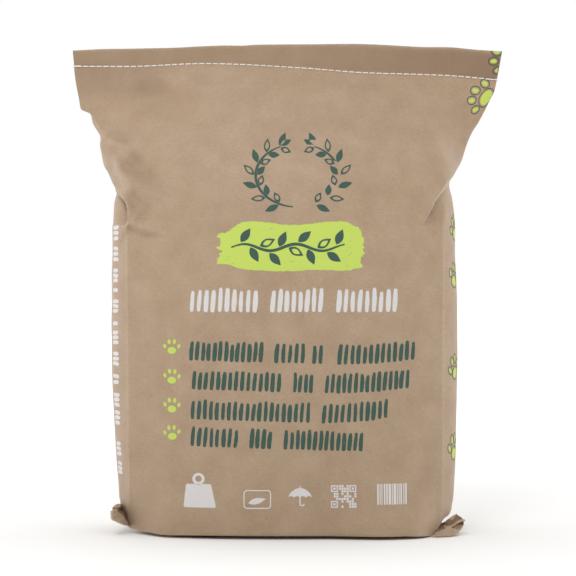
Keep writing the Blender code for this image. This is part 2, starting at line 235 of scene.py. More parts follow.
# Folds: the side, left (-1) or right (1), and the route, as how far in from the crease's flat place and the
# share of the seam's height. Then the rise, the width, and the shares over which it fades in and out. A pleat
# has its drop too, on the route's left hand, with that drop's reach and the width of its edge
FRONT_FOLDS = [
    (1, [(-0.001, 0.754), (0.0158, 0.7067), (0.0213, 0.6814), (0.0277, 0.6605), (0.035, 0.65)],
     0.0042, 0.007, 0.0, 0.35, 0.014, 0.018, 0.0016),
    (-1, [(0.0035, 0.6506), (0.0035, 0.6862), (0.0017, 0.701), (-0.002, 0.7136), (-0.013, 0.7356)],
     0.0022, 0.006, 0.14, 0.0, 0.022, 0.016, 0.0016),
    (-1, [(0.045, 0.626), (0.025, 0.6355), (0.0143, 0.6437), (0.0043, 0.6563)],
     0.003, 0.008, 0.6, 0.1, 0.009, 0.01, 0.005),
    (-1, [(-0.012, 0.8138), (-0.011, 0.7931), (0.001, 0.7632), (0.019, 0.7264), (0.051, 0.6828)],
     0.008, 0.009, 0.2, 0.5),
    (-1, [(-0.003, 0.8), (0.011, 0.7816), (0.023, 0.7485), (0.0383, 0.7184)], -0.0084, 0.01, 0.3, 0.4),
    (-1, [(0.003, 0.731), (0.0163, 0.6931), (0.0275, 0.6611)], -0.0062, 0.009, 0.3, 0.3),
    (-1, [(0.001, 0.954), (0.046, 0.915), (0.091, 0.8966)], -0.0105, 0.016, 0.3, 0.5),
    # Fine, crisp folds that the thin paper takes beside the larger ones
    (-1, [(-0.02, 0.84), (-0.0071, 0.8315), (0.0039, 0.8167), (0.02, 0.806)], 0.0036, 0.004, 0.2, 0.5),
    (-1, [(-0.0091, 0.812), (-0.0091, 0.7905), (-0.0028, 0.7696), (0.0087, 0.7374), (0.026, 0.713)],
     0.0038, 0.0036, 0.2, 0.5),
    (-1, [(-0.0125, 0.8034), (-0.011, 0.7699), (-0.004, 0.74), (0.002, 0.715)], -0.0034, 0.0036, 0.3, 0.4),
    (-1, [(-0.021, 0.854), (-0.0054, 0.846), (0.012, 0.827)], -0.0034, 0.005, 0.2, 0.5),
    (-1, [(-0.04, 0.908), (-0.034, 0.89), (-0.026, 0.862), (-0.02, 0.84)], 0.0012, 0.0026, 0.1, 0.5),
    (1, [(0.035, 0.94), (0.02, 0.87), (0.01, 0.8), (0.006, 0.75)], 0.0034, 0.01, 0.4, 0.3),
    (1, [(0.03, 0.77), (0.05, 0.71), (0.08, 0.65), (0.12, 0.6)], -0.004, 0.016, 0.3, 0.5),
    (1, [(-0.018, 0.86), (-0.01, 0.82), (0.0, 0.78)], -0.0044, 0.008, 0.3, 0.4),
]
BACK_FOLDS = [
    (-1, [(0.001, 0.7494), (0.018, 0.7103), (0.03, 0.6736), (0.043, 0.6552)], 0.0025, 0.009, 0.2, 0.5),
    (1, [(-0.009, 0.8), (0.012, 0.7494), (0.039, 0.6989), (0.063, 0.6759)], 0.0035, 0.012, 0.2, 0.5),
    (1, [(0.005, 0.8092), (0.033, 0.777), (0.066, 0.754)], -0.0028, 0.011, 0.3, 0.5),
    (-1, [(-0.007, 0.8552), (0.025, 0.8092), (0.069, 0.777)], -0.003, 0.013, 0.3, 0.5),
]
# Folds and pleats that are sharper than this are painted paler along their ridges, as wear and painted
# highlight
CRISP_FOLD = 0.0035
CRISP_EDGE = 0.002
CREASE_LINE_WIDTH = 0.0011

# The flat top tips forward above its seam, more so on the right, and its ends sway back below the seam
BAND_TILT = 0.30
BAND_TILT_GAIN = 0.22
FIN_SWAY = 0.011
# The filling presses the foot of the front out towards its right end, and its left end lies drawn back
FOOT_BULGE = 0.014
FOOT_DRAW = 0.020
PUCKER = 0.00040
# The flat top lies four layers of paper thick and more. It is painted darker as painted shade, less so at its
# middle, and so is its left end below the seam
BAND_PAINTED_SHADE = [(-1.0, 0.62), (-0.5, 0.46), (0.0, 0.44), (0.6, 0.75), (1.0, 1.0)]
FIN_PAINTED_SHADE = 0.34

FRONT_COLUMNS = 136
SIDE_COLUMNS = 46
ROWS = ((0.0, 0.06, 16), (0.06, 0.61, 92), (0.61, 0.92, 94), (0.92, 1.0, 20), (1.0, 1.0 + BAND_SHARE, 10))
CURL_ROWS = 8
UNDERSIDE_ROWS = 24
ROUNDING_PASSES = 140
PLY_GROOVE = {0.30: 0.0, 0.44: -0.0004, 0.56: -0.0004, 0.70: 0.0}


def eased(share):
    share = np.clip(share, 0.0, 1.0)
    return share * share * (3 - 2 * share)


def through(knots, at):
    """A smooth curve through (place, value) knots that never swings past them, read at each place."""
    places, values = np.array(knots).T
    spans = np.diff(places)
    rises = np.diff(values) / spans
    product = rises[:-1] * rises[1:]
    turning = product <= 0
    both = np.where(turning, 1.0, rises[:-1] + rises[1:])
    inner = np.where(turning, 0.0, 2 * product / both)
    slopes = np.concatenate([rises[:1], inner, rises[-1:]])
    at = np.clip(at, places[0], places[-1])
    k = np.clip(np.searchsorted(places, at) - 1, 0, len(spans) - 1)
    f = (at - places[k]) / spans[k]
    level = values[k] * (1 + 2 * f) * (1 - f) ** 2 + values[k + 1] * f * f * (3 - 2 * f)
    return level + spans[k] * (slopes[k] * f * (1 - f) ** 2 - slopes[k + 1] * f * f * (1 - f))


def from_route(x, z, route):
    """Distance from a route, positive on its left hand, and the share of the route passed by then."""
    ahead = np.diff(route, axis=0)
    lengths = np.hypot(ahead[:, 0], ahead[:, 1])
    passed = np.concatenate([[0.0], np.cumsum(lengths)])
    nearest = np.full(x.shape, np.inf)
    side = np.ones(x.shape)
    share = np.zeros(x.shape)
    for (x0, z0), (dx, dz), length, before in zip(route, ahead, lengths, passed):
        along = np.clip(((x - x0) * dx + (z - z0) * dz) / length**2, 0.0, 1.0)
        off_x = x - x0 - along * dx
        off_z = z - z0 - along * dz
        distance = np.hypot(off_x, off_z)
        closer = distance < nearest
        nearest = np.where(closer, distance, nearest)
        side = np.where(closer, np.where(dx * off_z < dz * off_x, -1.0, 1.0), side)
        share = np.where(closer, (before + along * length) / passed[-1], share)
    return nearest * side, share


def bell(reach):
    return np.exp(-(reach ** 2))


def fold_height(x, z, folds):
    """How far the folds stand out of the paper at x and z, and how pale it is painted along their ridges, as
    wear and painted highlight.
    """
    height = np.zeros(x.shape)
    worn = np.zeros(x.shape)
    for side, route, rise, width, fade_in, fade_out, *pleat in folds:
        inset, share_up = np.array(route).T
        drawn = np.column_stack([side * (HALF_FRONT - inset), share_up * SEAM_HEIGHT])
        distance, share = from_route(x, z, drawn)
        strength = eased(share / fade_in) if fade_in else np.ones(x.shape)
        strength = strength * (eased((1 - share) / fade_out) if fade_out else 1.0)
        height = height + strength * rise * bell(distance / width)
        if pleat:
            drop, reach, edge = pleat
            beside = eased(distance / edge + 0.5) * np.exp(-np.maximum(distance, 0) / reach)
            height = height - strength * drop * beside
        if rise > 0 and (width < CRISP_FOLD or pleat and pleat[2] < CRISP_EDGE):
            worn = np.maximum(worn, strength * bell(distance / CREASE_LINE_WIDTH))
    return height, worn


def seam_z(x):
    return SEAM_HEIGHT + through(STITCH_ROW, x / FLAT_REACH)


def paper_z(x, up):
    """The paper's height at x: up is 0 at the fold round the bottom, 1 at the stitch row."""
    strayed = (seam_z(x) - SEAM_HEIGHT) * eased((up - 0.74) / 0.26)
    lifted = through(BOTTOM_EDGE, x / HALF_FRONT) * np.maximum(1 - up / BODY_END, 0)
    lifted = lifted + TUCK_HEIGHT * eased((-x - TUCK_START) / TUCK_WIDTH) * np.exp(-up / TUCK_REACH)
    top = SEAM_HEIGHT + BAND_HEIGHT + TOP_EDGE_CROWN * (1 - np.minimum(np.abs(x) / FLAT_REACH, 1) ** 2)
    top = top + through(TOP_EDGE, x / FLAT_REACH)
    in_band = seam_z(x) + (up - 1) / BAND_SHARE * (top - seam_z(x))
    return np.where(up <= 1, up * SEAM_HEIGHT + strayed + lifted, in_band)


def creases(up):
    return -(HALF_FRONT - through(LEFT_CREASE, up)), HALF_FRONT - through(RIGHT_CREASE, up)


def outline(panel, share, up):
    """x and y on one panel, at a share of its width and a height."""
    left, right = creases(up)
    sewn_y = SEWN_THICKNESS / 2
    crease_y = sewn_y + (CREASE_HALF_DEPTH - sewn_y) * through(CREASE_DEPTH, up)
    across = 2 * share - 1
    if panel in ("front", "back"):
        face = -1 if panel == "front" else 1
        y = crease_y + BELLY_BULGE * through(BELLY, up) * (1 - np.abs(across) ** 2.5)
        return left + (right - left) * share, face * y
    if panel == "right":
        crease, ridge = right, FLAT_REACH - through(RIGHT_RIDGE, up)
    else:
        crease, ridge = left, through(LEFT_RIDGE, up) - FLAT_REACH
    roundness = through(GUSSET_ROUNDNESS, up)
    bow = roundness * (1 - np.abs(across) ** 2.4) + (1 - roundness) * (1 - np.abs(across))
    return crease + (ridge - crease) * bow, across * crease_y


def grid_normals(grid):
    """Outward normals of a grid whose rows run round the sack."""
    along = np.roll(grid, -1, axis=1) - np.roll(grid, 1, axis=1)
    normal = np.cross(along, np.gradient(grid, axis=0))
    return normal / np.maximum(np.linalg.norm(normal, axis=2, keepdims=True), 1e-12)


def cockle(place):
    """The paper's own unevenness in metres: slow waves, and small dents with sharp lines between them."""
    slow = noise.noise(place * 14.0)
    dents = math.sqrt(noise.noise(place * 24.0 + Vector((3.1, 0.0, 7.7))) ** 2 + 0.0016)
    fine = math.sqrt(noise.noise(place * 60.0 + Vector((11.0, 5.0, 0.0))) ** 2 + 0.0009)
    return 0.0010 * slow + 0.0009 * dents + 0.00022 * fine


levels = np.concatenate([np.linspace(low, high, count, endpoint=False) for low, high, count in ROWS])
levels = np.append(levels, ROWS[-1][1])
even = np.linspace(0, 1, FRONT_COLUMNS + 1)
front_shares = 0.45 * even + 0.55 * (1 - np.cos(np.pi * even)) / 2
side_shares = np.linspace(0, 1, SIDE_COLUMNS + 1)
panel_columns = {}
runs = []
facings = []
for panel, shares, facing in (
    ("front", front_shares, np.ones(FRONT_COLUMNS + 1)),
    ("right", side_shares, np.cos(np.pi * side_shares)),
    ("back", front_shares[::-1], -np.ones(FRONT_COLUMNS + 1)),
    ("left", side_shares[::-1], np.cos(np.pi * side_shares[::-1])),
):
    panel_columns[panel] = (sum(run.shape[1] for run in runs), shares)
    x, y = outline(panel, shares[None, :], levels[:, None])
    runs.append(np.stack([x + np.zeros_like(y), y + np.zeros_like(x)], axis=2)[:, :-1])
    facings.append(facing[:-1])
flat = np.concatenate(runs, axis=1)
facing = np.concatenate(facings)[None, :]
around = flat.shape[1]
up = levels[:, None] + np.zeros((1, around))

left_crease, right_crease = creases(up)


def off_crease(x):
    return np.minimum(np.abs(x - left_crease), np.abs(x - right_crease))


# Between the filled body and the flat top the tube's corner creases open out into rounded shoulders
rounding = eased((up - 0.68) / 0.07) * eased((0.96 - up) / 0.05) * bell(off_crease(flat[..., 0]) / 0.022)
for _ in range(ROUNDING_PASSES):
    between = (np.roll(flat, 1, axis=1) + np.roll(flat, -1, axis=1)) / 2
    flat = flat + 0.5 * rounding[..., None] * (between - flat)
x, y = flat[..., 0], flat[..., 1]
z = paper_z(x, up)
slack = eased((1 - up) / 0.04)
on_front, on_back = eased(0.6 + facing), eased(0.6 - facing)
front_height, front_wear_and_highlight = fold_height(x, z, FRONT_FOLDS)
back_height, back_wear_and_highlight = fold_height(x, z, BACK_FOLDS)
y = y - slack * on_front * front_height
y = y + slack * on_back * back_height
fin = eased((np.abs(x) - 0.120) / 0.045)
y = y + FIN_SWAY * fin * eased((1 - up) / 0.14) * eased((up - 0.74) / 0.08)
pressed = eased((x - 0.030) / 0.070) * eased((0.1402 - x) / 0.025) * bell(up / 0.08)
y = y - FOOT_BULGE * pressed * (facing > 0.97)
y = y + FOOT_DRAW * eased((-x - 0.108) / 0.045) * eased(-y / 0.044) * bell(up / 0.10)
top_bow = 0.0009 * np.sin(x * 19.0 + 0.6) + 0.0005 * np.sin(x * 47.0)
y = y + top_bow * eased((up - 0.90) / 0.08)
y = y - np.maximum(z - seam_z(x), 0) * (BAND_TILT + BAND_TILT_GAIN * x / FLAT_REACH) * (up > 1)
paper = np.stack([x, y, z], axis=2)

# Cockles grow towards the shoulders and the feet, and the sewn top lies nearly flat, puckered by its thread
heights = np.array([[cockle(Vector(point)) for point in row] for row in paper])
shoulder = bell((up - 0.74) / 0.12) * eased((np.abs(x) - 0.05) / 0.08)
foot = bell(up / 0.06) * eased((np.abs(x) - 0.05) / 0.09)
calm = eased((1 - up) / 0.05) * 0.85 + 0.15
lying = eased((up - 0.004) / 0.02)
heights = heights * calm * lying * (0.75 + 0.9 * shoulder + 0.7 * foot)
pucker = np.sin(x * 2 * np.pi / 0.0145 + 2.0 * np.sin(x * 31.0)) * (0.6 + 0.4 * np.sin(x * 57.0))
heights = heights + PUCKER * pucker * bell((1 - up) / 0.045) * eased((1 - up) / 0.006)
on_crease = bell(off_crease(x) / CREASE_LINE_WIDTH)
flat_crease = eased((up - 0.82) / 0.08) * on_crease
heights = heights + 0.0002 * flat_crease
paper = paper + heights[..., None] * grid_normals(paper)
paper[..., 0] += MIDDLE_LINE_X
normals = grid_normals(paper)

# Painted paler, as wear and painted highlight: the sharp folds, the corner creases, faintly so on the flat
# top, and the cut edge
corner_crease = 0.5 * on_crease * (np.abs(facing) > 0.97) * eased((0.70 - up) / 0.08)
cut_edge = eased((up - (1.0 + 0.86 * BAND_SHARE)) / (0.14 * BAND_SHARE))
worn = np.maximum.reduce([
    front_wear_and_highlight * on_front, back_wear_and_highlight * on_back, 0.06 * flat_crease, corner_crease, 0.8 * cut_edge,
])
# Painted shade: how much darker the flat top, and the left end below the seam, are painted
painted_shade = eased((up - 0.997) / 0.004) * through(BAND_PAINTED_SHADE, x / FLAT_REACH)
painted_shade = np.maximum(painted_shade, FIN_PAINTED_SHADE * eased((-x - 0.105) / 0.03) * eased((up - 0.925) / 0.03))

# The fold round the bottom, then the underside, where the folded flap's edge stands a ply off the floor
BOTTOM_FLAP_DEPTH = 0.030
PLY_LIFT = 0.0010
lowest = paper[0] - [MIDDLE_LINE_X, 0.0, 0.0]
curl = []
for share in np.linspace(1, 0, CURL_ROWS + 1)[:-1]:
    inward = share ** 1.5
    curled_x = lowest[:, 0] * (1 - inward * UNDERSIDE_INSET_SIDE / np.abs(lowest[:, 0]).max())
    curled_y = lowest[:, 1] * (1 - inward * UNDERSIDE_INSET_FRONT / np.abs(lowest[:, 1]).max())
    curled_z = lowest[:, 2] * (1 - 0.16 * min(share / 0.12, 1) - 0.84 * share ** 2)
    curl.append(np.column_stack([curled_x + MIDDLE_LINE_X, curled_y, curled_z]))
rings = np.concatenate([np.array(curl), paper])

verts = [tuple(point) for point in rings.reshape(-1, 3)]
faces = []
for row in range(len(rings) - 1):
    for i in range(around):
        j = (i + 1) % around
        faces.append((row * around + i, row * around + j, (row + 1) * around + j, (row + 1) * around + i))


def bridge(ring_start, shares, lift):
    """Rows of faces that join a ring's front points to its back ones, between the two gusset ridges."""
    right_ridge = FRONT_COLUMNS + SIDE_COLUMNS // 2
    columns = []
    for k in range(around // 2 + 1):
        back = ring_start + (right_ridge + k) % around
        front = ring_start + (right_ridge - k) % around
        column = [front]
        if front != back:
            for share in shares:
                point = np.array(verts[front]) * (1 - share) + np.array(verts[back]) * share
                point[2] += lift(point, share)
                column.append(len(verts))
                verts.append(tuple(point))
            column.append(back)
        else:
            column = [front] * (len(shares) + 2)
        columns.append(column)
    for first, second in zip(columns, columns[1:]):
        for low in range(len(first) - 1):
            corners = list(dict.fromkeys([first[low], first[low + 1], second[low + 1], second[low]]))
            if len(corners) > 2:
                faces.append(tuple(corners))


def underside_lift(point, share):
    rim = eased(min(share, 1 - share) / 0.08)
    on_flap = eased((point[1] + BOTTOM_FLAP_DEPTH) / 0.006 + 0.5) * eased(-point[1] / 0.006 + 0.5)
    return PLY_LIFT * rim * (1 - on_flap)


bridge(0, np.linspace(0, 1, UNDERSIDE_ROWS + 1)[1:-1], underside_lift)
bridge((len(rings) - 1) * around, PLY_GROOVE, lambda point, share: PLY_GROOVE[share])


def finished(mesh, sharp_from=None, bm=None):
    """Faces turned outwards and shaded smooth, with edges sharp from a given angle on."""
    if bm is None:
        bm = bmesh.new()
        bm.from_mesh(mesh)
    bmesh.ops.recalc_face_normals(bm, faces=bm.faces)
    bm.to_mesh(mesh)
    bm.free()
    mesh.shade_smooth()
    if sharp_from:
        mesh.set_sharp_from_angle(angle=math.radians(sharp_from))


sack_mesh = bpy.data.meshes.new("sack_paper")
sack_mesh.from_pydata(verts, [], faces)
finished(sack_mesh, 50)
# Attributes for the kraft's shader: the sharp ridges, creases and cut edge painted paler, as wear and painted
# highlight, and the flat top painted darker as painted shade
for name, values in (("worn", worn), ("painted_shade", painted_shade)):
    attribute = sack_mesh.attributes.new(name, "FLOAT", "POINT")
    attribute.data.foreach_set("value", np.concatenate([
        np.zeros(CURL_ROWS * around), values.ravel(), np.zeros(len(verts) - len(rings) * around),
    ]))

# Unbleached kraft, uncoated: no gloss, a faint cloudiness where the pulp lay thicker, paler along the sharp
# ridges, creases and cut edge as wear and painted highlight, and darker on the flat top as painted shade. The
# fibre is drawn about three times too coarse, so that it shows
KRAFT_PALE = "#AE967C"
KRAFT_DARK = "#A0866C"
KRAFT_FLECK_AND_PAINTED_SHADE = "#80654D"
KRAFT_WORN_AND_HIGHLIGHT = "#C6B39D"
CLOUD_MM = 22.0
FIBRE_MM = 1.1
FLECK_MM = 2.6
PAINTED_SHADE_MIX = 0.80


def kraft_colour(tree, place):
    """The paper's colour, with its painted highlight and painted shade, and its fibre as a height for the
    bump.
    """
    clouds = add(tree, "ShaderNodeTexNoise", {"Vector": place, "Scale": 1000 / CLOUD_MM, "Detail": 3.0})
    lain = add(tree, "ShaderNodeMapping", {"Vector": place, "Scale": (0.4, 0.4, 1.0)})
    fibre = add(tree, "ShaderNodeTexNoise", {
        "Vector": lain.outputs["Vector"], "Scale": 1000 / FIBRE_MM, "Detail": 2.0, "Roughness": 0.6,
    })
    both = add(tree, "ShaderNodeMath", {0: clouds.outputs["Fac"], 1: fibre.outputs["Fac"]}, operation="ADD")
    tone = add(tree, "ShaderNodeMapRange", {"Value": both.outputs[0], "From Min": 0.7, "From Max": 1.3})
    pulp = add(tree, "ShaderNodeMix", {
        0: tone.outputs["Result"], 6: rgb(KRAFT_DARK), 7: rgb(KRAFT_PALE),
    }, data_type="RGBA")
    flecks = add(tree, "ShaderNodeTexNoise", {"Vector": place, "Scale": 1000 / FLECK_MM, "Detail": 1.0})
    dark = add(tree, "ShaderNodeMapRange", {
        "Value": flecks.outputs["Fac"], "From Min": 0.70, "From Max": 0.80, "To Max": 0.35,
    })
    flecked = add(tree, "ShaderNodeMix", {
        0: dark.outputs["Result"], 6: pulp.outputs[2], 7: rgb(KRAFT_FLECK_AND_PAINTED_SHADE),
    }, data_type="RGBA")
    # Painted shade: the flat top, and the left end below the seam, mixed towards the dark fleck colour
    painted_shade = add(tree, "ShaderNodeAttribute", attribute_name="painted_shade")
    shade = add(tree, "ShaderNodeMath", {0: painted_shade.outputs["Fac"], 1: PAINTED_SHADE_MIX}, operation="MULTIPLY")
    with_painted_shade = add(tree, "ShaderNodeMix", {
        0: shade.outputs[0], 6: flecked.outputs[2], 7: rgb(KRAFT_FLECK_AND_PAINTED_SHADE),
    }, data_type="RGBA")
    # Wear and painted highlight: paler along the sharp ridges, the creases and the cut edge, broken by the
    # fibre
    wear_and_highlight = add(tree, "ShaderNodeAttribute", attribute_name="worn")
    broken = add(tree, "ShaderNodeMath", {
        0: wear_and_highlight.outputs["Fac"], 1: fibre.outputs["Fac"],
    }, operation="MULTIPLY")
    pale = add(tree, "ShaderNodeMix", {
        0: broken.outputs[0], 6: with_painted_shade.outputs[2], 7: rgb(KRAFT_WORN_AND_HIGHLIGHT),
    }, data_type="RGBA")
    return pale.outputs[2], fibre.outputs["Fac"]


kraft, tree, shader = new_material("unbleached_kraft_paper")
colour, fibre = kraft_colour(tree, add(tree, "ShaderNodeTexCoord").outputs["Object"])
bump = add(tree, "ShaderNodeBump", {"Height": fibre, "Strength": 0.3, "Distance": 0.0002})
feed(tree, shader, {
    "Base Color": colour, "Roughness": 0.62, "Sheen Weight": 0.12, "Sheen Roughness": 0.5,
    "Normal": bump.outputs["Normal"],
})

sack = linked("sack_paper", sack_mesh, kraft)
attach(sack, "root")
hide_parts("sack")


# The print: three flexographic inks straight on the kraft, white, dark green and lime. They draw rows of
# brushed blades, a wreath, a vine on a brushed field, plain paws and a row of plain pictograms.
INK_LIFT = 0.00012
INK_ROOT = 0.00008
CUT_MM = 3.0


def blend(grid, row, column):
    """A grid of points or normals read between its rows and columns."""
    low = np.minimum(np.floor(row).astype(int), len(levels) - 2)
    near = np.floor(column).astype(int)
    f = (row - low)[:, None]
    g = (column - near)[:, None]
    near, far = near % around, (near + 1) % around
    below = grid[low, near] * (1 - g) + grid[low, far] * g
    above = grid[low + 1, near] * (1 - g) + grid[low + 1, far] * g
    return below * (1 - f) + above * f


def on_paper(panel, share, up):
    """Points on the finished paper and their normals."""
    start, shares = panel_columns[panel]
    order = np.argsort(shares)
    column = start + np.interp(share, shares[order], np.arange(len(shares))[order])
    row = np.interp(up, levels, np.arange(len(levels)))
    normal = blend(normals, row, column)
    return blend(paper, row, column), normal / np.linalg.norm(normal, axis=1, keepdims=True)


def face_spot(panel):
    """The front's or the back's place for millimetres right of the middle and above the floor."""
    def spot(points):
        x, z = points.T / 1000
        up = z / SEAM_HEIGHT
        for _ in range(6):
            up = up + (z - paper_z(x, up)) / SEAM_HEIGHT
        left, right = creases(up)
        return on_paper(panel, (x - left) / (right - left), up)
    return spot


def gusset_spot(panel):
    """A gusset's place for millimetres back from its front crease and above the floor."""
    def spot(points):
        back, z = points.T / 1000
        share = back / GUSSET_DEPTH
        up = z / SEAM_HEIGHT
        for _ in range(8):
            x, _ = outline(panel, share, up)
            up = up + (z - paper_z(x, up)) / SEAM_HEIGHT
        return on_paper(panel, share, up)
    return spot


def printed(name, loops, spot, lift, ink):
    """Ink as a thin closed film: loops in millimetres are filled, cut small and laid on the paper."""
    curve = bpy.data.curves.new(name, "CURVE")
    curve.dimensions = "2D"
    curve.fill_mode = "BOTH"
    for loop in loops:
        spline = curve.splines.new("POLY")
        spline.points.add(len(loop) - 1)
        spline.points.foreach_set("co", [c for px, pz in loop for c in (px, pz, 0.0, 1.0)])
        spline.use_cyclic_u = True
    drawn = bpy.data.objects.new(name, curve)
    filled = bpy.data.meshes.new_from_object(drawn)
    bm = bmesh.new()
    bm.from_mesh(filled)
    for axis in (0, 1):
        reach = [vert.co[axis] for vert in bm.verts]
        plane = [0.0, 0.0, 0.0]
        plane[axis] = 1.0
        for cut in np.arange(min(reach) + CUT_MM / 2, max(reach), CUT_MM):
            whole = bm.verts[:] + bm.edges[:] + bm.faces[:]
            at = [0.0, 0.0, 0.0]
            at[axis] = cut
            bmesh.ops.bisect_plane(bm, geom=whole, plane_co=at, plane_no=plane)
    bmesh.ops.triangulate(bm, faces=bm.faces)
    bmesh.ops.remove_doubles(bm, verts=bm.verts, dist=0.02)
    bm.verts.index_update()
    sheet = [[vert.index for vert in face.verts] for face in bm.faces]
    rim = []
    for edge in bm.edges:
        if len(edge.link_loops) == 1:
            loop = edge.link_loops[0]
            rim.append((loop.vert.index, loop.link_loop_next.vert.index))
    places, outward = spot(np.array([vert.co[:2] for vert in bm.verts]))
    count = len(bm.verts)
    bm.free()
    bpy.data.objects.remove(drawn)
    skin = np.concatenate([places + outward * lift, places - outward * INK_ROOT])
    below = [[i + count for i in reversed(face)] for face in sheet]
    walls = [(b, a, a + count, b + count) for a, b in rim]
    mesh = bpy.data.meshes.new(name)
    mesh.from_pydata(skin.tolist(), [], sheet + below + walls)
    finished(mesh, 50)
    film = linked(name, mesh, ink)
    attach(film, "root")


def ink_on_kraft(name, colour, worn, streak):
    """Water-based ink that has sunk into the paper. Streaks of the kraft show through where it lies thin."""
    ink, tree, shader = new_material(name)
    place = add(tree, "ShaderNodeTexCoord").outputs["Object"]
    bare, fibre = kraft_colour(tree, place)
    drawn_out = add(tree, "ShaderNodeMapping", {"Vector": place, "Scale": streak})
    thin = add(tree, "ShaderNodeTexNoise", {
        "Vector": drawn_out.outputs["Vector"], "Scale": 900.0, "Detail": 3.0, "Roughness": 0.65,
    })
    shows = add(tree, "ShaderNodeMapRange", {
        "Value": thin.outputs["Fac"], "From Min": 1 - worn, "From Max": 1 - worn + 0.12,
        "To Min": 0.05, "To Max": 0.9,
    })
    mixed = add(tree, "ShaderNodeMix", {
        0: shows.outputs["Result"], 6: rgb(colour), 7: bare,
    }, data_type="RGBA")
    bump = add(tree, "ShaderNodeBump", {"Height": fibre, "Strength": 0.2, "Distance": 0.0002})
    feed(tree, shader, {
        "Base Color": mixed.outputs[2], "Roughness": 0.7, "Specular IOR Level": 0.3,
        "Normal": bump.outputs["Normal"],
    })
    return ink


def turned(x, z, u, v, turn):
    """The point u along and v across from x and z, once that is turned by degrees."""
    c, s = math.cos(math.radians(turn)), math.sin(math.radians(turn))
    return x + u * c - v * s, z + u * s + v * c


def ellipse(x, z, half_width, half_height, turn=0.0, points=28):
    round_it = [2 * math.pi * k / points for k in range(points)]
    return [turned(x, z, half_width * math.cos(a), half_height * math.sin(a), turn) for a in round_it]


def rounded(left, right, low, high, radius):
    """A box with rounded corners."""
    loop = []
    for cx, cz, first in ((right - radius, low + radius, -90), (right - radius, high - radius, 0),
                          (left + radius, high - radius, 90), (left + radius, low + radius, 180)):
        for k in range(5):
            a = math.radians(first + 22.5 * k)
            loop.append((cx + radius * math.cos(a), cz + radius * math.sin(a)))
    return loop


def blade(rng, x, z, width, height, lean):
    """One brushed blade: a stroke that swells and leans, round at its foot and ragged at its tip."""
    steps = 8
    bow = rng.uniform(-0.35, 0.35)
    right, left = [], []
    for k in range(steps + 1):
        t = k / steps
        half = width / 2 * (0.80 + 0.35 * math.sin(math.pi * (0.15 + 0.8 * t))) + rng.uniform(-0.12, 0.12)
        middle = x + lean * (t - 0.5) + bow * math.sin(math.pi * t)
        right.append((middle + half, z + height * (t - 0.5)))
        left.append((middle - half, z + height * (t - 0.5)))
    foot_x, foot_z = x - lean / 2, z - height / 2
    foot = [(foot_x - width * 0.22, foot_z - width * 0.26), (foot_x + width * 0.20, foot_z - width * 0.30)]
    tip = []
    for k in range(1, 4):
        u = 1 - 2 * k / 4
        tall = (0.34 if k % 2 else 0.12) * width + rng.uniform(0.0, 0.5)
        tip.append((x + lean / 2 + u * width * 0.36, z + height / 2 + tall))
    return right + tip + left[::-1] + foot


def blades(rng, start, end, z, height, width, pitch, slope=0.0, rise=0.0):
    """A row of brushed blades side by side, like drawn grass, which may slope and turn up at its end."""
    count = max(2, round((end - start) / pitch))
    step = (end - start) / count
    loops = []
    for k in range(count):
        x = start + (k + 0.5) * step + rng.uniform(-0.2, 0.2)
        tall = height * rng.uniform(0.84, 1.0) - 0.5 * width
        line = z + slope * x + rise * ((x - start) / (end - start)) ** 2
        foot = line - height / 2 + rng.uniform(-0.3, 0.3) + 0.25 * width
        wide = width * rng.uniform(0.85, 1.1)
        lean = rng.uniform(0.6, 1.6)
        loops.append(blade(rng, x, foot + tall / 2, wide, tall, lean))
    return loops


def paw(x, z, width, turn=0.0, grow=0.0):
    """A plain paw: one broad pad and four toes. Grow thickens or thins each blob, in millimetres."""
    loops = []
    for u, v, half_u, half_v, tilt in (
        (0.00, -0.17, 0.25, 0.20, 0), (-0.37, 0.05, 0.10, 0.14, 22), (-0.14, 0.28, 0.105, 0.15, 6),
        (0.14, 0.28, 0.105, 0.15, -6), (0.37, 0.05, 0.10, 0.14, -22),
    ):
        middle = turned(x, z, u * width, v * width, turn)
        loops.append(ellipse(*middle, half_u * width + grow, half_v * width + grow, tilt + turn, 24))
    return loops


def leaf(x, z, length, width, turn, line=0.0):
    """A pointed leaf from its foot at x and z. With a line's width it is drawn as an outline."""
    def edge(long, wide, set_on):
        sides = [(set_on + long * k / 12, wide / 2 * math.sin(math.pi * (k / 12) ** 0.85)) for k in range(13)]
        ring = [(u, -v) for u, v in sides] + [(u, v) for u, v in reversed(sides[1:-1])]
        return [turned(x, z, u, v, turn) for u, v in ring]

    if not line:
        return [edge(length, width, 0.0)]
    return [edge(length, width, 0.0), edge(length - 4.2 * line, width - 2 * line, 2.1 * line)]


def ribbon(points, width, tapered=True):
    """A drawn line of a given width along points, thinner at its ends."""
    points = np.array(points)
    ahead = np.gradient(points, axis=0)
    across = np.column_stack([-ahead[:, 1], ahead[:, 0]]) / np.linalg.norm(ahead, axis=1)[:, None]
    t = np.linspace(0, 1, len(points))[:, None]
    half = width / 2 * (np.sin(np.pi * np.clip(t, 0.04, 0.96)) ** 0.35 if tapered else 1.0)
    return [tuple(p) for p in points - across * half] + [tuple(p) for p in (points + across * half)[::-1]]


def bristles(rng, count, reach):
    """Uneven lengths of the marks that a dry brush's bristles leave at a stroke's end."""
    slow = [rng.uniform(0.1, 1.0) for _ in range(count // 4 + 2)]
    marks = []
    for k in range(count):
        a, f = divmod(k / 4, 1)
        marks.append(reach * (0.65 * (slow[int(a)] * (1 - f) + slow[int(a) + 1] * f) + 0.35 * rng.random()))
    return marks


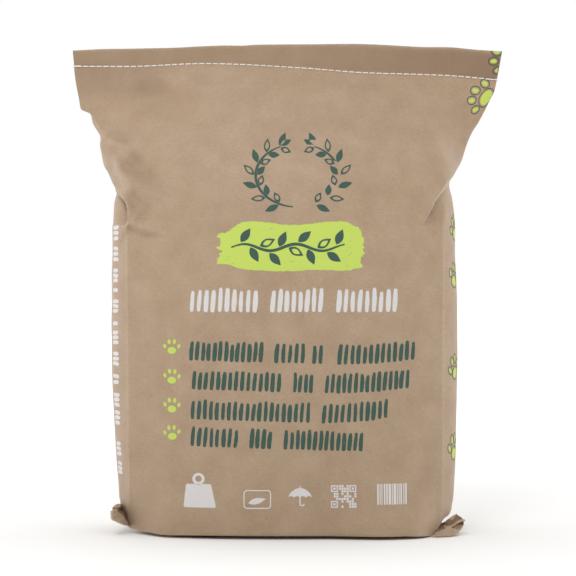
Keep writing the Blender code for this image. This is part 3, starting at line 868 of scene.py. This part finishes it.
def brushed_field(rng, left, right, low, high, reach):
    """A field laid down by a broad dry brush: wavy long edges, bristle marks at both ends, and scratches."""
    loop = []
    length, tall = right - left, high - low
    for k in range(70):
        t = k / 69
        rise = 5.5 * math.exp(-(t / 0.10) ** 2) + 2.5 * math.exp(-((1 - t) / 0.06) ** 2)
        loop.append((left + length * t, low + rise + 0.6 * math.sin(11.0 * t) + rng.uniform(-0.35, 0.35)))
    tufts = 34
    for k, mark in enumerate(bristles(rng, tufts, reach)):
        loop.append((right + mark, low + 2.5 + (tall - 5.5) * (k + 0.5) / tufts))
    for k in range(70):
        t = 1 - k / 69
        fall = 9.0 * math.exp(-(t / 0.09) ** 2) + 4.0 * math.exp(-((1 - t) / 0.05) ** 2)
        wave = 1.7 * math.cos(9.2 * (t - 0.18))
        loop.append((left + length * t, high - fall + wave + rng.uniform(-0.35, 0.35)))
    for k, mark in enumerate(bristles(rng, tufts, reach)):
        loop.append((left - mark, high - 8.0 - (tall - 13.5) * (k + 0.5) / tufts))
    loops = [loop]
    for k in range(26):
        x = rng.choice((
            rng.uniform(left, left + 12),
            rng.uniform(right - 14, right - 4),
            rng.uniform(left + 8, right - 8),
        ))
        z = low + 3.0 + (tall - 6.0) * (k + 0.5) / 26
        loops.append([(x, z), (x + rng.uniform(1.2, 3.8), z + rng.uniform(-0.2, 0.2)), (x + 0.8, z + 0.5)])
    return loops


WHITE_INK = ink_on_kraft("white_flexographic_ink", "#D6D4D3", 0.36, (1.0, 1.0, 0.18))
GREEN_INK = ink_on_kraft("dark_green_flexographic_ink", "#2E524A", 0.34, (1.0, 1.0, 0.18))
LIME_INK = ink_on_kraft("lime_flexographic_ink", "#BED45F", 0.33, (0.15, 1.0, 1.0))
rng = random.Random(7)

white = []
for start, end in ((-89.2, -26.1), (-16.2, 32.4), (42.3, 100.0)):
    white += blades(rng, start, end, 216.2, 21.5, 3.8, 6.3)

# A weight, a leaf in a frame, an umbrella, a field of random squares and a row of bars
white.append([
    (-93.2, 28.9), (-65.8, 28.9), (-64.9, 30.2), (-69.0, 49.2), (-70.2, 50.4), (-90.8, 50.4), (-92.0, 49.2),
    (-94.2, 30.2),
])
white += [ellipse(-80.6, 54.9, 5.6, 5.4), ellipse(-80.6, 55.1, 2.9, 2.8)]
white += [rounded(-40.0, -15.2, 28.2, 45.4, 3.2), rounded(-39.0, -16.2, 29.2, 44.4, 2.3)]
white += leaf(-35.8, 33.4, 16.5, 5.6, 14.0)
canopy = [(21.4 * k / 24 + 0.1, 38.6 + 8.6 * math.sin(math.pi * k / 24) ** 0.62) for k in range(24, -1, -1)]
scallops = [(0.1 + 21.4 * k / 24, 38.6 + 1.3 * abs(math.sin(math.pi * k / 6))) for k in range(1, 24)]
white.append(scallops + canopy)
hook = []
for degrees in range(0, 181, 20):
    a = math.radians(degrees)
    hook.append((10.8 + 1.9 - 1.9 * math.cos(a), 33.0 - 1.9 * math.sin(a)))
white.append(ribbon([(10.8, 38.9), (10.8, 36.0), *hook], 1.1, False))
white.append(ribbon([(10.8, 47.6), (10.8, 48.3), (10.8, 49.0)], 1.1, False))
CELL = 2.32
DOT = 1.95
for left, low in ((38.7, 43.4), (55.3, 43.4), (38.7, 29.2)):
    for start, end, radius in ((0.0, 6.2, 0.3), (1.1, 5.1, 0.2), (2.1, 4.1, 0.2)):
        white.append(rounded(left + start, left + end, low + start, low + end, radius))
for row in range(9):
    for column in range(10):
        corner = (column < 3 and row > 5) or (column > 6 and row > 5) or (column < 3 and row < 3)
        if not corner and rng.random() < 0.55:
            left, low = 38.8 + column * CELL, 29.2 + row * CELL
            white.append([(left, low), (left + DOT, low), (left + DOT, low + DOT), (left, low + DOT)])
stripe = 80.4
while stripe < 107.5:
    thick = rng.choice((0.9, 0.9, 1.4, 2.1))
    white.append([(stripe, 31.8), (stripe + thick, 31.8), (stripe + thick, 50.2), (stripe, 50.2)])
    stripe += thick + rng.choice((0.8, 0.8, 1.3))
front_spot = face_spot("front")
printed("print_white", white, front_spot, INK_LIFT, WHITE_INK)

lime = []
for z in (173.6, 146.7, 120.6, 95.8):
    lime += paw(-104.9, z, 17.6, rng.uniform(-6, 6), -0.4)
printed("print_lime", lime, front_spot, INK_LIFT, LIME_INK)
field = brushed_field(rng, -57.5, 62.5, 242.6, 285.4, 8.0)
printed("print_lime_field", field, front_spot, INK_LIFT, LIME_INK)

green = []
for z, spans in (
    (169.6, ((-89.2, -21.6), (-12.6, 16.2), (20.7, 32.4), (44.1, 116.2))),
    (143.6, ((-87.4, -5.4), (3.6, 23.4), (32.4, 110.8))),
    (116.6, ((-88.3, 20.7), (29.7, 91.0))),
    (92.0, ((-88.3, -44.1), (-35.1, -13.5), (-4.5, 68.5))),
):
    for start, end in spans:
        rise = 6.0 if end > 80.0 else 0.0
        green += blades(rng, start, end, z - 0.9, 18.0, 3.3, 5.4, -0.026, rise)

# A wreath of two sprigs, drawn in line, that open at the top
WREATH_X, WREATH_Z, WREATH_HALF_WIDTH, WREATH_HALF_HEIGHT = 8.6, 329.5, 38.0, 29.5


def on_wreath(side, a):
    return WREATH_X + side * WREATH_HALF_WIDTH * math.cos(a), WREATH_Z + WREATH_HALF_HEIGHT * math.sin(a)


for side in (-1, 1):
    green.append(ribbon([on_wreath(side, math.radians(-84 + 150 * k / 32)) for k in range(33)], 2.4))
    for k in range(7):
        a = math.radians(-66 + 21.5 * k)
        ahead = (-side * WREATH_HALF_WIDTH * math.sin(a), WREATH_HALF_HEIGHT * math.cos(a))
        heading = math.degrees(math.atan2(ahead[1], ahead[0]))
        for lean, long in ((-44 * side, 13.5), (44 * side, 10.5)):
            foot = turned(*on_wreath(side, a), 1.9, 0.0, heading + lean)
            outlined = (k + (long > 12)) % 2 == 0
            green += leaf(*foot, long, 5.8, heading + lean, 1.2 if outlined else 0.0)
    tip_x, tip_z = on_wreath(side, math.radians(66))
    green += leaf(tip_x, tip_z + 1.4, 11.0, 5.4, 90 + side * 62)
printed("print_dark_green", green, front_spot, INK_LIFT, GREEN_INK)


# A plain vine along the lime field, a little thicker than the lime that it lies on
def on_vine(k):
    return -51.0 + 2.0 * k, 263.4 + 3.0 * math.sin(k * 0.27)


vine = [ribbon([on_vine(k) for k in range(52)], 2.8)]
for k in range(1, 12):
    at = 4.3 * k
    side = 1 if k % 2 else -1
    foot_x, foot_z = on_vine(at)
    rise = math.degrees(math.atan(0.4 * math.cos(at * 0.27)))
    vine += leaf(foot_x, foot_z + side * 2.1, 15.0, 7.4, side * 46 + rise, 0.0 if k % 3 else 1.5)
printed("print_vine", vine, front_spot, INK_LIFT * 1.8, GREEN_INK)

# The gussets carry a column of white strokes on the left, and outlined paws on the right
strokes = []
for top, bottom in (
    (285.3, 270.5), (265.9, 251.1), (245.5, 231.6), (227.9, 222.4), (216.8, 203.9), (197.4, 190.9),
    (188.1, 174.3), (168.7, 154.8), (148.3, 137.2), (130.7, 116.8), (114.1, 100.2), (85.3, 71.5),
    (66.8, 53.9),
):
    count = max(1, round((top - bottom) / 4.9))
    for k in range(count):
        along = bottom + (top - bottom) * (k + 0.5) / count
        stroke = blade(rng, along, 20.0, 3.3, rng.uniform(11.5, 14.0), rng.uniform(-0.8, 0.8))
        strokes.append([(back, z) for z, back in stroke])
printed("print_left_gusset", strokes, gusset_spot("left"), INK_LIFT, WHITE_INK)
paws_lime, paws_green = [], []
for back, z, width, turn in (
    (53.0, 442.0, 30.0, 80), (39.0, 407.0, 33.0, 82), (66.0, 298.0, 28.0, -16), (27.0, 282.0, 28.0, 18),
    (22.0, 238.0, 28.0, -8), (62.0, 205.0, 30.0, 12), (21.0, 153.0, 28.0, 20), (60.0, 120.0, 30.0, -14),
    (22.0, 79.0, 30.0, 8), (62.0, 47.0, 28.0, -10),
):
    paws_green += paw(back, z, width, turn, 0.9) + paw(back, z, width, turn, 0.1)
    paws_lime += paw(back, z, width, turn, -1.3)
printed("print_right_gusset_outlines", paws_green, gusset_spot("right"), INK_LIFT, GREEN_INK)
printed("print_right_gusset_paws", paws_lime, gusset_spot("right"), INK_LIFT, LIME_INK)


# The back's lap seam: the tube is closed by pasting one edge of the sheet over the other, down its whole
# height, a little to one side of the middle. Only the upper edge shows, as a step of one ply.
LAP_FROM_MM, LAP_TO_MM = -6.0, 19.0
LAP_THICKNESS = 0.00035
lap = [(LAP_FROM_MM, 10.0), (LAP_TO_MM, 10.0)]
lap += [(LAP_TO_MM + 0.35 * math.sin(0.11 * z), float(z)) for z in range(16, 430, 6)]
lap += [(LAP_TO_MM, 430.5), (LAP_FROM_MM, 430.5)]
printed("back_lap_seam", [lap], face_spot("back"), LAP_THICKNESS, kraft)


# The closing seam: a two-ply cotton chain stitch straight through the flat top. Each stitch is a short bar in
# front, which dips into its needle holes, and a loop behind that passes through the next one.
STITCH_PITCH = 0.0064
THREAD_RADIUS = 0.00036
DASH_HALF = 0.00255
BACK_LOOP_LENGTH = 0.0076
BACK_LOOP_RADIUS = 0.00046
HALF_SEAM = SEWN_THICKNESS / 2
STITCH_SEED = 3


def tube(path, radius, sides=7, closed=False):
    """A round strand along points, as vertices and faces."""
    path = np.array(path, dtype=float)
    ahead = np.roll(path, -1, axis=0) - np.roll(path, 1, axis=0) if closed else np.gradient(path, axis=0)
    ahead /= np.linalg.norm(ahead, axis=1)[:, None]
    points = []
    across = np.cross(ahead[0], [0.0, 0.0, 1.0] if abs(ahead[0][2]) < 0.9 else [0.0, 1.0, 0.0])
    for centre, forward in zip(path, ahead):
        across = across - forward * np.dot(across, forward)
        across /= np.linalg.norm(across)
        second = np.cross(forward, across)
        for k in range(sides):
            a = 2 * math.pi * k / sides
            points.append(centre + radius * (across * math.cos(a) + second * math.sin(a)))
    skin = []
    count = len(path)
    for ring in range(count if closed else count - 1):
        low, high = ring * sides, (ring + 1) % count * sides
        for k in range(sides):
            skin.append((low + k, low + (k + 1) % sides, high + (k + 1) % sides, high + k))
    if not closed:
        skin.append(tuple(range(sides))[::-1])
        skin.append(tuple((count - 1) * sides + k for k in range(sides)))
    return points, skin


def joined(name, parts):
    """One mesh of several strands."""
    verts, faces = [], []
    for points, skin in parts:
        faces += [tuple(i + len(verts) for i in face) for face in skin]
        verts += [tuple(point) for point in points]
    mesh = bpy.data.meshes.new(name)
    mesh.from_pydata(verts, [], faces)
    finished(mesh)
    return mesh


def two_ply(path, turns):
    """Two strands twisted about a path that runs across the seam's front."""
    path = np.array(path)
    ahead = np.gradient(path, axis=0)
    ahead /= np.linalg.norm(ahead, axis=1)[:, None]
    across = np.cross(ahead, [0.0, 0.0, 1.0])
    across /= np.maximum(np.linalg.norm(across, axis=1), 1e-9)[:, None]
    second = np.cross(ahead, across)
    strands = []
    for ply in (0.0, math.pi):
        a = (np.linspace(0, 2 * math.pi * turns, len(path)) + ply)[:, None]
        off = 0.8 * THREAD_RADIUS * (across * np.cos(a) + second * np.sin(a))
        strands.append(tube(path + off, THREAD_RADIUS))
    return strands


dash = []
for k in range(23):
    t = k / 11 - 1
    lift = 0.00052 * (1 - abs(t) ** 5) - 0.0009 * max(abs(t) - 0.80, 0) / 0.20
    dash.append((DASH_HALF * t, -HALF_SEAM - lift, 0.0))
loop_path = []
for k in range(24):
    a = 2 * math.pi * k / 24
    tip = 0.5 + 0.5 * math.cos(a)
    loop_path.append((STITCH_PITCH / 2 + BACK_LOOP_LENGTH / 2 * math.cos(a),
                      HALF_SEAM + 0.00035 + 0.00055 * tip, 0.00078 * math.sin(a) * (1.1 - 0.35 * tip)))
stitch_mesh = joined("stitch", two_ply(dash, 2.0) + [tube(loop_path, BACK_LOOP_RADIUS, closed=True)])


def two_tone(name, grain, detail, dark, pale, relief, sockets):
    """A fibrous finish that wavers between two tones. The fibre is its relief too, by strength and depth."""
    material, tree, shader = new_material(name)
    place = add(tree, "ShaderNodeTexCoord").outputs["Object"]
    noisy = add(tree, "ShaderNodeTexNoise", {"Vector": place, "Scale": grain, "Detail": detail})
    fibres = noisy.outputs["Fac"]
    tone = add(tree, "ShaderNodeMapRange", {"Value": fibres, "From Min": 0.3, "From Max": 0.7})
    shade = add(tree, "ShaderNodeMix", {
        0: tone.outputs["Result"], 6: rgb(dark), 7: rgb(pale),
    }, data_type="RGBA")
    bump = add(tree, "ShaderNodeBump", {"Height": fibres, "Strength": relief[0], "Distance": relief[1]})
    feed(tree, shader, {"Base Color": shade.outputs[2], "Normal": bump.outputs["Normal"], **sockets})
    return material


# Bleached cotton, twisted: matt and a little hairy, so its edges look soft
cotton = two_tone(
    "bleached_cotton_thread", 2500.0, 2.0, "#DAD7D1", "#F6F4F0", (0.4, 0.0001),
    {"Roughness": 0.8, "Sheen Weight": 0.25},
)

seam_row = int(np.argmin(np.abs(levels - 1.0)))
half_way = SIDE_COLUMNS // 2
front_run = paper[seam_row, np.arange(-half_way, FRONT_COLUMNS + half_way + 1) % around]
back_run = paper[seam_row, np.arange(-half_way, -half_way - len(front_run), -1) % around]
middle_run = (front_run + back_run) / 2
start, end = middle_run[0, 0] + 0.003, middle_run[-1, 0] - 0.008
seam_run = middle_run[(middle_run[:, 0] > start) & (middle_run[:, 0] < end)]
seam_mesh = bpy.data.meshes.new("seam_line")
seam_mesh.from_pydata(seam_run.tolist(), [(k, k + 1) for k in range(len(seam_run) - 1)], [])
seam_line = linked("chain_stitch", seam_mesh, cotton)
stitch = bpy.data.objects.new("one_stitch", stitch_mesh)
scene.collection.objects.link(stitch)

rows = bpy.data.node_groups.new("chain_stitch_row", "GeometryNodeTree")
sockets = {}
for name, kind in (
    ("Seam", "Geometry"), ("Stitch pitch", "Float"), ("One stitch", "Object"), ("Seed", "Int"),
    ("Thread", "Material"),
):
    sockets[name] = rows.interface.new_socket(name, in_out="INPUT", socket_type="NodeSocket" + kind)
rows.interface.new_socket("Stitches", in_out="OUTPUT", socket_type="NodeSocketGeometry")
given = add(rows, "NodeGroupInput").outputs
line = add(rows, "GeometryNodeMeshToCurve", {"Mesh": given["Seam"]})
spaced = add(rows, "GeometryNodeResampleCurve", {
    "Curve": line.outputs["Curve"], "Length": given["Stitch pitch"],
}, mode="LENGTH")
tangent = add(rows, "GeometryNodeInputTangent")
aligned = add(rows, "FunctionNodeAlignRotationToVector", {"Vector": tangent.outputs["Tangent"]}, axis="X")
sewn_by_hand = add(rows, "FunctionNodeRandomValue", {
    "Min": (0.93, 0.92, 0.92), "Max": (1.04, 1.06, 1.08), "Seed": given["Seed"],
}, data_type="FLOAT_VECTOR")
single = add(rows, "GeometryNodeObjectInfo", {"Object": given["One stitch"]})
laid = add(rows, "GeometryNodeInstanceOnPoints", {
    "Points": spaced.outputs["Curve"], "Instance": single.outputs["Geometry"],
    "Rotation": aligned.outputs["Rotation"], "Scale": sewn_by_hand.outputs["Value"],
})
real = add(rows, "GeometryNodeRealizeInstances", {"Geometry": laid.outputs["Instances"]})
dressed = add(rows, "GeometryNodeSetMaterial", {
    "Geometry": real.outputs["Geometry"], "Material": given["Thread"],
})
add(rows, "NodeGroupOutput", {"Stitches": dressed.outputs["Geometry"]})

sewing = seam_line.modifiers.new("sewing", "NODES")
sewing.node_group = rows
for name, value in (
    ("Stitch pitch", STITCH_PITCH), ("One stitch", stitch), ("Seed", STITCH_SEED), ("Thread", cotton),
):
    sewing[sockets[name].identifier] = value
bpy.context.view_layer.update()
sewn = bpy.data.meshes.new_from_object(seam_line.evaluated_get(bpy.context.evaluated_depsgraph_get()))
seam_line.modifiers.remove(sewing)
seam_line.data = sewn
sewn.shade_smooth()
bpy.data.objects.remove(stitch)
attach(seam_line, "root")
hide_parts("top_thread")

# The thread runs on over each side edge, from the last bar in front to the chain behind
ends = []
for edge, out in ((middle_run[0], -1), (middle_run[-1], 1)):
    wrap = []
    for k in range(15):
        a = math.pi * k / 14
        off_edge = [out * (-0.0062 + 0.0072 * math.sin(a)), -0.0014 * math.cos(a), 0.0004 * math.cos(a)]
        wrap.append(edge + np.array(off_edge))
    ends += two_ply(wrap, 3.0)
thread_ends = linked("thread_ends", joined("thread_ends", ends), cotton)
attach(thread_ends, "root")


# The ears: the two ends of the pasted bottom, which stick out at the floor as crushed flaps of doubled paper.
# Each is drawn as the facets that its folds make, where the camera sees them, then given its thickness. The
# facets in the hollows and underneath show the sack's inner ply, a redder kraft painted darker as painted
# shade.
# Points: pixel column, pixel row and depth.
EAR_PLY = 0.0008
EAR_CLEARANCE = 0.0002
INNER_PLY_PAINTED_SHADE_PALE = "#8F7159"
INNER_PLY_PAINTED_SHADE_DARK = "#6E5240"
LEFT_EAR_POINTS = {
    "flap_end": (112.3, 507.9, -0.036), "flap_edge": (114.2, 505.6, -0.027),
    "flap_back": (116.5, 504.2, -0.018), "flap_root": (121.5, 503.8, -0.008),
    "flap_lip": (120.4, 507.2, -0.028), "flap_low": (116.0, 507.6, -0.034),
    "block_back": (113.4, 509.0, -0.04), "pocket": (117.2, 509.3, -0.036), "hole": (122.5, 510.0, -0.012),
    "side_top": (110.7, 511.4, -0.038), "side_low": (110.8, 518.0, -0.038),
    "face_top": (112.5, 510.0, -0.044), "face_mid": (117.0, 510.6, -0.042),
    "face_fold": (120.6, 513.2, -0.039), "rift_top": (123.2, 515.4, -0.037),
    "rift_mid": (124.6, 518.6, -0.039), "rift_low": (127.6, 522.0, -0.034), "corner": (129.4, 525.9, -0.03),
    "foot_mid": (118.8, 522.3, -0.048), "foot_left": (112.3, 519.2, -0.045),
    "sole_left": (112.0, 519.9, -0.034), "sole_mid": (118.6, 523.2, -0.034),
    "sole_right": (129.4, 526.4, -0.022), "deep_top": (125.5, 512.0, -0.014),
    "deep_mid": (128.5, 517.0, -0.01), "deep_low": (130.5, 522.0, -0.01), "inside": (131.0, 508.0, -0.004),
}
LEFT_EAR_FACETS = """
outer flap_end flap_edge flap_back flap_root flap_lip flap_low
inner flap_end flap_low pocket block_back
inner flap_low flap_lip hole pocket
outer block_back pocket face_mid face_top
inner pocket hole face_fold face_mid
inner hole deep_top rift_top face_fold
inner deep_top deep_mid rift_mid rift_top
inner deep_mid deep_low corner rift_low rift_mid
outer side_top face_top foot_left side_low
outer face_top face_mid face_fold rift_top foot_left
outer rift_top rift_mid foot_mid foot_left
outer rift_mid rift_low corner foot_mid
outer foot_left foot_mid sole_mid sole_left
outer foot_mid corner sole_right sole_mid
outer side_low foot_left sole_left
inner flap_lip flap_root inside hole
inner hole inside deep_top
"""
RIGHT_EAR_POINTS = {
    "toe": (431.5, 536.0, -0.058), "foot_a": (439.7, 536.5, -0.058), "foot_b": (448.5, 536.1, -0.055),
    "foot_c": (454.4, 535.0, -0.051), "heel": (458.5, 533.2, -0.047), "heel_top": (459.2, 531.0, -0.045),
    "side_low": (461.8, 528.6, -0.041), "side_mid": (463.4, 525.1, -0.037),
    "side_top": (463.6, 521.4, -0.035), "tip": (465.4, 520.2, -0.034), "fold_end": (462.8, 518.9, -0.038),
    "peak": (456.4, 514.0, -0.022), "crest": (451.5, 516.7, -0.028), "brow": (448.2, 519.0, -0.032),
    "neck": (445.4, 522.0, -0.036), "throat": (444.0, 525.6, -0.04), "fold_mid": (457.2, 521.4, -0.046),
    "fold_root": (450.6, 526.0, -0.048), "lip_end": (463.2, 520.6, -0.039), "lip_mid": (457.4, 523.0, -0.047),
    "lip_root": (451.2, 527.6, -0.049), "under_end": (461.8, 522.4, -0.034),
    "under_mid": (456.6, 524.4, -0.038), "under_root": (452.4, 528.0, -0.044),
    "valley": (453.0, 520.3, -0.036), "face_top": (445.4, 528.6, -0.051), "face_mid": (454.6, 528.8, -0.05),
    "rift": (438.0, 531.6, -0.052), "inside_low": (432.0, 530.0, -0.044), "inside_top": (438.0, 524.0, -0.03),
}
RIGHT_EAR_FACETS = """
outer toe foot_a face_top rift
outer foot_a foot_b face_mid lip_root face_top
outer foot_b foot_c heel heel_top face_mid
outer heel_top side_low under_root face_mid
outer face_mid under_root lip_root
outer side_low side_mid under_mid under_root
inner side_mid side_top under_end under_mid
inner under_end lip_end lip_mid under_mid
inner under_mid lip_mid lip_root under_root
outer fold_end fold_mid lip_mid lip_end
outer fold_mid fold_root lip_root lip_mid
outer side_top tip lip_end under_end
outer tip fold_end lip_end
inner peak fold_end fold_mid valley
outer peak valley brow crest
inner valley fold_mid fold_root neck brow
inner neck fold_root throat
outer throat fold_root lip_root face_top
inner throat face_top rift inside_low
inner throat inside_low inside_top neck
"""


PICTURE_PIXELS = 576


def seen_at(column, row, y):
    """The point that the camera sees at a column and a row of its picture, when it lies at depth y."""
    pixel = (CAMERA_DISTANCE + y) * SENSOR_MM / LENS_MM / PICTURE_PIXELS
    half = PICTURE_PIXELS / 2
    return (MIDDLE_LINE_X + (column - half) * pixel, y, CAMERA_HEIGHT + (half - row) * pixel)


# The inner ply is uncoated kraft as well, redder, and painted darker as painted shade for the ears' hollows
# and undersides
inner_ply_painted_shade = two_tone(
    "inner_ply_kraft_with_painted_shade", 1000 / FIBRE_MM, 3.0, INNER_PLY_PAINTED_SHADE_DARK, INNER_PLY_PAINTED_SHADE_PALE, (0.3, 0.0002),
    {"Roughness": 0.7},
)


def folded_ear(name, points, facets):
    names = list(points)
    mesh = bpy.data.meshes.new(name)
    painted_shade, corners = [], []
    for facet in facets.strip().splitlines():
        ply, *around_it = facet.split()
        painted_shade.append(int(ply == "inner"))
        corners.append(tuple(names.index(corner) for corner in around_it))
    mesh.from_pydata([seen_at(*point) for point in points.values()], [], corners)
    # Facets marked inner take the darker inner ply: painted shade
    mesh.polygons.foreach_set("material_index", painted_shade)
    bm = bmesh.new()
    bm.from_mesh(mesh)
    bmesh.ops.recalc_face_normals(bm, faces=bm.faces)
    bmesh.ops.triangulate(bm, faces=bm.faces)
    for _ in range(3):
        bmesh.ops.subdivide_edges(bm, edges=bm.edges[:], cuts=1, use_grid_fill=True)
        bmesh.ops.smooth_vert(bm, verts=[v for v in bm.verts if not v.is_boundary], factor=0.15,
                              use_axis_x=True, use_axis_y=True, use_axis_z=True)
    bm.normal_update()
    for vert in bm.verts:
        rough = math.sqrt(noise.noise(vert.co * 160.0) ** 2 + 0.002) * 0.0008
        vert.co += vert.normal * rough
    bmesh.ops.solidify(bm, geom=bm.faces[:], thickness=EAR_PLY)
    for vert in bm.verts:
        vert.co.z = max(vert.co.z, EAR_CLEARANCE)
    finished(mesh, 35, bm)
    ear = linked(name, mesh, kraft)
    ear.data.materials.append(inner_ply_painted_shade)
    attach(ear, "root")


folded_ear("left_ear", LEFT_EAR_POINTS, LEFT_EAR_FACETS)
folded_ear("right_ear", RIGHT_EAR_POINTS, RIGHT_EAR_FACETS)


low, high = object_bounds()
